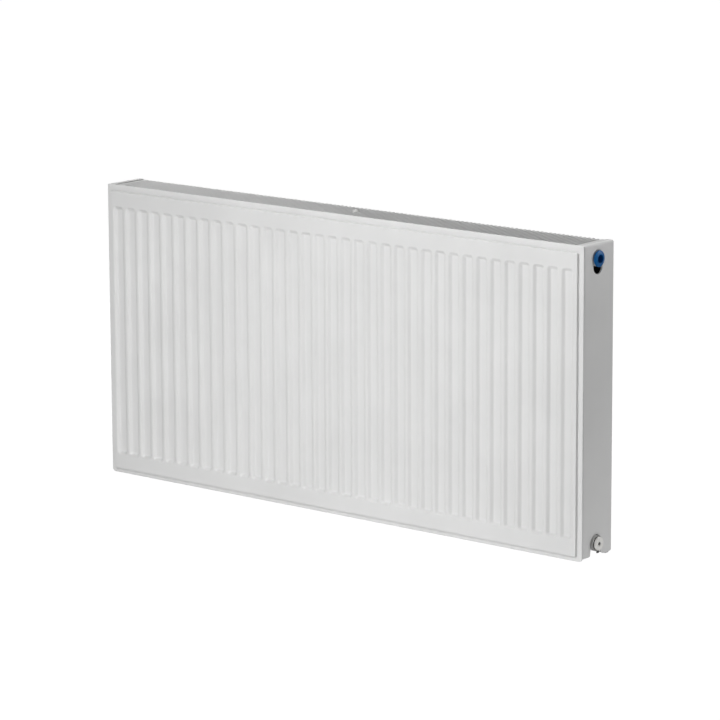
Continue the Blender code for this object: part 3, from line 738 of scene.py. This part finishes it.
def make_grille():
    """Folded sheet with round-ended slots that run over its rear edge."""
    front, rear, top, foot = GRILLE_LOW.y, GRILLE_HIGH.y, GRILLE_HIGH.z, GRILLE_LOW.z
    gap = (GRILLE_PITCH - GRILLE_BAR) / 2
    columns = [(-GRILLE_HIGH.x, None)]
    for centre in grille_slots():
        columns += [(centre + share * gap, share) for share in SLOT_SHARES]
    columns.append((GRILLE_HIGH.x, None))
    bend = arc((front + GRILLE_BEND, top - GRILLE_BEND), GRILLE_BEND, 180, 90, 4)
    rear_bend = arc((rear - GRILLE_BEND, top - GRILLE_BEND), GRILLE_BEND, 90, 0, 4)
    section = [(front, foot)] + bend + [(front + GRILLE_RAIL, top)] + rear_bend
    section += [(rear, top - GRILLE_WRAP), (rear, foot)]
    start, end = len(bend) + 1, len(section) - 2
    bm = bmesh.new()
    outer, inner = {}, {}
    for c, (x, share) in enumerate(columns):
        back_off = gap * (1 - math.sqrt(1 - share * share)) if share is not None else gap
        for r, (y, z) in enumerate(section):
            if share is not None and abs(share) < 1 and start < r < end:
                continue
            if r == start:
                y += back_off
            if r == end:
                z += back_off / 2
            outer[c, r] = bm.verts.new((x, y, z))
            inner[c, r] = bm.verts.new((x, min(max(y, front + GRILLE_SHEET), rear - GRILLE_SHEET),
                                        min(z, top - GRILLE_SHEET)))
    for c in range(len(columns) - 1):
        for r in range(len(section) - 1):
            keys = ((c, r), (c + 1, r), (c + 1, r + 1), (c, r + 1))
            in_slot = columns[c][1] is not None and columns[c][1] < 1 and start <= r < end
            if not in_slot:
                bm.faces.new([outer[key] for key in keys])
                bm.faces.new([inner[key] for key in reversed(keys)])
    partner = {outer[key]: inner[key] for key in outer}
    for edge in [edge for edge in bm.edges if len(edge.link_faces) == 1]:
        first, second = edge.verts
        if first in partner:
            bm.faces.new((first, second, partner[second], partner[first]))
    bmesh.ops.remove_doubles(bm, verts=bm.verts, dist=FINE_MERGE)
    bmesh.ops.dissolve_degenerate(bm, edges=bm.edges, dist=FINE_MERGE)
    finish_piece("top_grille", mesh_of(bm, "top_grille"), WHITE_PAINT)


def make_clip():
    """The round clip: a raised ring round a low middle, on a stem through a slot."""
    low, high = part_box("grille_clip")
    radius = (high.x - low.x) / 2
    seat = GRILLE_HIGH.z + SEAT
    middle = seat + CLIP_MIDDLE
    foot, inner, outer = [radius * share for share in CLIP_RING]
    # Corners give radius, height and rounding
    head = [(0, middle), (foot, middle, 0.0004), (inner, high.z, 0.0004), (outer, high.z, 0.0005),
            (radius, seat)]
    stem = [(CLIP_STEM, seat), (CLIP_STEM, low.z + CLIP_TAPER), (CLIP_TIP, low.z), (0, low.z)]
    mesh = turned("grille_clip", rounded(head, closed=False) + stem, closed=False, steps=48)
    centre = Matrix.Translation(((low.x + high.x) / 2, (low.y + high.y) / 2, 0))
    finish_piece("grille_clip", moved(mesh, centre), GREY_PLASTIC)


make_grille()
make_clip()


# Side covers

def hole_outline(margin=0.0):
    """The upper hole's outline, anticlockwise, or one larger by a margin."""
    return (arc((MIDDLE, HIGH), HOLE_RADIUS + margin, 0, 180, HOLE_STEPS)
            + arc((MIDDLE, HIGH - HOLE_DROP), HOLE_FOOT + margin, 180, 360, HOLE_STEPS))


def notch(radius, foot):
    """The lower notch's outline, from its rear foot over the top to its front foot."""
    points = arc((MIDDLE, LOW), radius, 0, 180, NOTCH_STEPS)
    return [(MIDDLE + radius, foot)] + points + [(MIDDLE - radius, foot)]


def rim(path, closed):
    """Turned-in rim along a path in Y and Z: rounded at the cover's face, then straight inwards."""
    face = COVER_HIGH.x
    section = arc((RIM_RADIUS, RIM_RADIUS), RIM_RADIUS, 270, 180, RIM_STEPS)
    section += [(0, RIM_DEPTH), (COVER_SHEET, RIM_DEPTH), (COVER_SHEET, RIM_TURN),
                (RIM_RADIUS, COVER_SHEET)]
    count = len(path)
    bm = bmesh.new()
    loops = []
    for k, (y, z) in enumerate(path):
        before = path[k - 1] if closed or k > 0 else path[k]
        after = path[(k + 1) % count] if closed or k < count - 1 else path[k]
        along = np.array(after) - np.array(before)
        along = along / np.linalg.norm(along)
        out = np.array((along[1], -along[0]))
        loops.append([bm.verts.new((face - depth, y + out[0] * reach, z + out[1] * reach))
                      for reach, depth in section])
    size = len(section)
    for k in range(count if closed else count - 1):
        first, second = loops[k], loops[(k + 1) % count]
        for j in range(size):
            bm.faces.new((first[j], first[(j + 1) % size], second[(j + 1) % size], second[j]))
    if not closed:
        bm.faces.new(loops[0])
        bm.faces.new(loops[-1][::-1])
    return mesh_of(bm, "rim")


def cover_outline():
    """Side outline of a cover: rounded legs and the notch for the lower connection."""
    low, corner = COVER_LOW.z, COVER_CORNER
    wide = NOTCH_RADIUS + RIM_RADIUS - RIM_LAP
    front, rear = COVER_LOW.y - COVER_BEND, COVER_HIGH.y + COVER_BEND
    top = HEIGHT + COVER_BEND
    points = [(front, low)]
    points += arc((MIDDLE - wide - corner, low + corner), corner, -90, 0, CORNER_STEPS)
    points += notch(wide, low + corner)[::-1]
    points += arc((MIDDLE + wide + corner, low + corner), corner, 180, 270, CORNER_STEPS)
    points += arc((COVER_HIGH.y - corner, low + corner), corner, 270, 350, CORNER_STEPS)
    points += [(rear, low + corner), (rear, top), (front, top)]
    return points


def cover_tray():
    """Open tray with rounded edges: face, front lip, rear lip and top lip."""
    bm = bmesh.new()
    bm.from_mesh(block((COVER_LOW.x, COVER_LOW.y, 0), (COVER_HIGH.x, COVER_HIGH.y, HEIGHT)))
    opened = [face for face in bm.faces if face.normal.x < -0.5 or face.normal.z < -0.5]
    bmesh.ops.delete(bm, geom=opened, context="FACES")
    weight = bm.edges.layers.float.new("bevel_weight_edge")
    for edge in bm.edges:
        if len(edge.link_faces) == 2:
            upright = abs(edge.verts[0].co.z - edge.verts[1].co.z) > HEIGHT / 2
            edge[weight] = COVER_TIGHT / COVER_BEND if upright else 1.0
    mesh = bpy.data.meshes.new("tray")
    bm.to_mesh(mesh)
    bm.free()
    obj = scratch(mesh)
    bevel = obj.modifiers.new("bends", "BEVEL")
    bevel.limit_method = "WEIGHT"
    bevel.width = COVER_BEND
    bevel.segments = COVER_BEND_STEPS
    return thickened(baked(obj), COVER_SHEET)


def make_covers():
    """The right cover, and the left one as its mirror image."""
    start, end = HALF - CUT_REACH, HALF + CUT_REACH
    beyond_lips = block((start, -FAR, -FAR),
                        (HALF - COVER_LIP, FAR, HEIGHT - COVER_BEND - LIP_CLEAR))
    sheet = combine(cover_tray(), "DIFFERENCE", beyond_lips)
    sheet = combine(sheet, "INTERSECT", prism([cover_outline()], start, end))
    sheet = combine(sheet, "DIFFERENCE", prism([hole_outline(RIM_RADIUS - RIM_LAP)], start, end))
    hole_rim = rim(hole_outline(), True)
    notch_rim = rim(notch(NOTCH_RADIUS, COVER_LOW.z + COVER_CORNER), False)
    cover = combine(combine(sheet, "UNION", hole_rim), "UNION", notch_rim)
    finish_piece("right_side_cover", cover, WHITE_PAINT)
    finish_piece("left_side_cover", moved(cover, Matrix.Scale(-1, 4, (1, 0, 0))), WHITE_PAINT)


make_covers()


# Fittings at the connections

def at_connection(node, mesh):
    """Stand a turned mesh, made about +Z from the socket's face, at its node's connection."""
    low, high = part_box(node)
    side = 1 if high.x > 0 else -1
    height = HIGH if (low.z + high.z) / 2 > HEIGHT / 2 else LOW
    place = Matrix.Translation((side * (HALF - SEAT), MIDDLE, height))
    outwards = Matrix.Rotation(math.pi / 2, 4, "Y")
    turn = Matrix.Rotation(0 if side > 0 else math.pi, 4, "Z") @ outwards
    return moved(mesh, place @ turn)


def make_cap(node):
    """Hollow push-in cap with a coned flange and a raised lip round its mouth."""
    floor = CAP_FLOOR - CAP_DEPTH
    # Corners give radius, height and rounding, here and in the plug's pieces
    profile = [(0, floor), (CAP_BORE, floor, 0.0004), (CAP_BORE, CAP_LIP, 0.0004),
               (CAP_LIP_RADIUS, CAP_LIP, 0.0004), (CAP_FACE_RADIUS, CAP_FACE, 0.0006),
               (CAP_RADIUS, CAP_EDGE_TOP, 0.0014), (CAP_RADIUS, CAP_EDGE_FOOT, 0.0006),
               (CAP_SHOULDER_RADIUS, CAP_SHOULDER, 0.0006), (CAP_SHOULDER_RADIUS, SEAT, 0.0003),
               (CAP_SPIGOT, SEAT, 0.0002), (CAP_SPIGOT, -CAP_DEPTH, 0.0006), (0, -CAP_DEPTH)]
    mesh = turned(node, rounded(profile, steps=5, closed=False), closed=False, steps=72)
    finish_piece(node, at_connection(node, mesh), BLUE_PLASTIC)


def plug_body():
    """Head with a key hole, neck, collar and the end that goes into the socket."""
    profile = [(KEY_HOLE_RADIUS, PLUG_TOP, 0.0003), (PLUG_FACE_RADIUS, PLUG_TOP, 0.0005),
               (PLUG_HEAD_RADIUS, PLUG_CHAMFER, 0.0004),
               (PLUG_HEAD_RADIUS, PLUG_HEAD_FOOT, 0.0003), (PLUG_NECK, PLUG_HEAD_FOOT),
               (PLUG_NECK, COLLAR_TOP), (COLLAR_RADIUS, COLLAR_TOP, 0.0004),
               (COLLAR_RADIUS, COLLAR_FOOT, 0.0004), (PLUG_NECK, COLLAR_FOOT),
               (PLUG_NECK, -PLUG_DEPTH, 0.0008), (SCREW_BORE, -PLUG_DEPTH),
               (SCREW_BORE, KEY_HOLE_FLOOR), (KEY_HOLE_RADIUS, KEY_HOLE_FLOOR)]
    return turned("plug", rounded(profile), steps=72)


def plug_seal():
    """Flat ring between the collar and the socket."""
    profile = [(SEAL_RADIUS, SEAL_TOP, 0.0004), (SEAL_RADIUS, SEAT, 0.0004),
               (NECK_CLEARANCE, SEAT), (NECK_CLEARANCE, SEAL_TOP)]
    return turned("seal", rounded(profile))


def plug_ring():
    """Swivel ring under the head, with a drilled spout."""
    profile = [(PLUG_HEAD_RADIUS, RING_TOP, 0.0005), (PLUG_HEAD_RADIUS, RING_FOOT, 0.0005),
               (NECK_CLEARANCE, RING_FOOT), (NECK_CLEARANCE, RING_TOP)]
    ring = turned("ring", rounded(profile), steps=72)
    spout = block((SPOUT_START, -SPOUT_HALF, SPOUT_FOOT), (SPOUT_END, SPOUT_HALF, SPOUT_TOP))
    ring = combine(ring, "UNION", softened(spout, SPOUT_ROUND, segments=3))
    middle = (0, 0, (SPOUT_FOOT + SPOUT_TOP) / 2)
    drill = rod(SPOUT_BORE, SPOUT_BORE_START, THROUGH, "X", middle, steps=24)
    return combine(ring, "DIFFERENCE", drill)


def plug_screw():
    """Key screw: a square end on a round stem."""
    square = block((-KEY_HALF, -KEY_HALF, KEY_FOOT), (KEY_HALF, KEY_HALF, KEY_TOP))
    stem = rod(SCREW_RADIUS, -SCREW_DEPTH, SCREW_TOP, "Z", steps=32)
    return combine(softened(square, KEY_ROUND, segments=3), "UNION", stem)


def make_plug(name):
    """Plug with its seal, swivel ring and key screw."""
    for piece, mesh, material in (("plug", plug_body(), NICKEL), ("seal", plug_seal(), RUBBER),
                                  ("ring", plug_ring(), BLACK_PLASTIC),
                                  ("screw", plug_screw(), STEEL)):
        node = f"{name}_{piece}"
        finish_piece(node, at_connection(node, mesh), material)


def make_tees():
    """Cross tubes between the panels, each with a socket towards its end."""
    for level in ("top", "bottom"):
        for end in ("left", "right"):
            node = f"tee_{level}_{end}"
            low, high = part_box(node)
            side = 1 if end == "right" else -1
            height = (low.z + high.z) / 2
            axis = (low.x if side > 0 else -high.x) + TUBE_RADIUS
            on_tube, on_socket = (axis, 0, height), (0, MIDDLE, height)
            tube = rod(TUBE_RADIUS, low.y, high.y, "Y", on_tube)
            socket = rod(SOCKET_RADIUS, axis, HALF - SEAT, "X", on_socket)
            tee = softened(combine(tube, "UNION", socket), TEE_ROUND, segments=2)
            for drill in (rod(TUBE_BORE, -THROUGH, THROUGH, "Y", on_tube, steps=48),
                          rod(SOCKET_BORE, axis, HALF + THROUGH, "X", on_socket)):
                tee = combine(tee, "DIFFERENCE", drill)
            mirror = Matrix.Scale(side, 4, (1, 0, 0))
            finish_piece(node, moved(tee, mirror), INNER_PAINT_AND_SHADE)


make_cap("cap_top_right")
make_cap("cap_bottom_left")
make_plug("drain")
make_plug("vent")
make_tees()


# Hanging lugs

def make_lugs():
    """Pressed lugs on the back, each a hollow hook with two welded feet."""
    for level in ("upper", "lower"):
        for end in ("left", "right"):
            node = f"lug_{level}_{end}"
            low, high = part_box(node)
            centre = (low.x + high.x) / 2
            wall = LUG_POCKET + LUG_SHEET
            base = block(low, (high.x, low.y + LUG_SHEET, high.z))
            body = block((centre - wall, low.y + LUG_SHEET / 2, low.z),
                         (centre + wall, high.y, high.z))
            hollow = block((centre - LUG_POCKET, low.y - LUG_CLEAR, low.z - LUG_CLEAR),
                           (centre + LUG_POCKET, high.y - LUG_SHEET, high.z - LUG_SHEET))
            lug = combine(combine(base, "UNION", body), "DIFFERENCE", hollow)
            finish_piece(node, softened(lug, LUG_ROUND, segments=3), WHITE_PAINT)


make_lugs()


# Stage

def make_backdrop():
    """A pale floor and a white surround, which only the camera sees."""
    bpy.ops.mesh.primitive_plane_add(size=FLOOR_SIZE, location=(0, 0, FLOOR_Z))
    floor = bpy.context.object
    bpy.ops.mesh.primitive_uv_sphere_add(radius=SURROUND_RADIUS, segments=48, ring_count=24)
    surround = bpy.context.object
    for obj, name, shade in ((floor, "floor", FLOOR_SHADE), (surround, "surround", 0.0)):
        obj.name = name
        material, _, shader = new_material(name)
        shader.inputs["Base Color"].default_value = (shade, shade, shade, 1)
        shader.inputs["Roughness"].default_value = 1.0
        shader.inputs["Specular IOR Level"].default_value = 0.0
        shader.inputs["Emission Color"].default_value = (1, 1, 1, 1)
        shader.inputs["Emission Strength"].default_value = 1.0
        obj.data.materials.append(material)
        obj.visible_diffuse = False
        obj.visible_glossy = False
        obj.visible_transmission = False
        obj.visible_shadow = False


def add_light(name, location, size, power):
    """A soft square light turned to the radiator; the floor lets through those below it."""
    data = bpy.data.lights.new(name, "AREA")
    data.size = size
    data.energy = power
    light = bpy.data.objects.new(name, data)
    light.location = location
    aim = Vector((0, FRONT_FLANGE, HEIGHT / 2)) - light.location
    light.rotation_euler = aim.to_track_quat("-Z", "Y").to_euler()
    light.visible_camera = False
    bpy.context.scene.collection.objects.link(light)


def make_world():
    """Even light from all round."""
    world = bpy.data.worlds.new("studio")
    world.use_nodes = True
    background = world.node_tree.nodes["Background"]
    background.inputs["Color"].default_value = (1, 1, 1, 1)
    background.inputs["Strength"].default_value = WORLD_STRENGTH
    bpy.context.scene.world = world


def make_camera():
    """The photograph's view: a long lens from the front right, a little above."""
    azimuth, elevation, roll = math.radians(39.689), math.radians(11.641), math.radians(-0.269)
    distance, target = 7.3973, (0.06456, FRONT_FLANGE, 0.3185)
    data = bpy.data.cameras.new("camera")
    data.sensor_width = 36
    data.lens = 190.7
    data.clip_end = 100
    camera = bpy.data.objects.new("camera", data)
    turn = (Matrix.Rotation(azimuth, 4, "Z") @ Matrix.Rotation(math.pi / 2 - elevation, 4, "X")
            @ Matrix.Rotation(roll, 4, "Z"))
    camera.matrix_world = (Matrix.Translation(target) @ turn
                           @ Matrix.Translation((0, 0, distance)))
    bpy.context.scene.collection.objects.link(camera)
    bpy.context.scene.camera = camera


make_backdrop()
make_world()
add_light("front", (0.4, -2.0, 1.3), size=0.8, power=30.1)
add_light("front_low", (0, -1.6, -0.9), size=0.9, power=13.0)
add_light("right_low", (1.8, -0.3, -0.9), size=0.9, power=5.1)
add_light("right_back", (1.8, 1.4, 0.8), size=0.9, power=12.8)
add_light("right_back_low", (1.3, 0.9, -0.5), size=0.8, power=1.6)
add_light("left_back", (-1.8, 1.4, 0.3), size=0.9, power=12.0)
add_light("above", (0, -0.2, 2.4), size=1.0, power=10.0)
add_light("above_back", (0, 1.3, 2.1), size=1.0, power=12.3)
make_camera()
bpy.context.scene.view_settings.view_transform = "Standard"
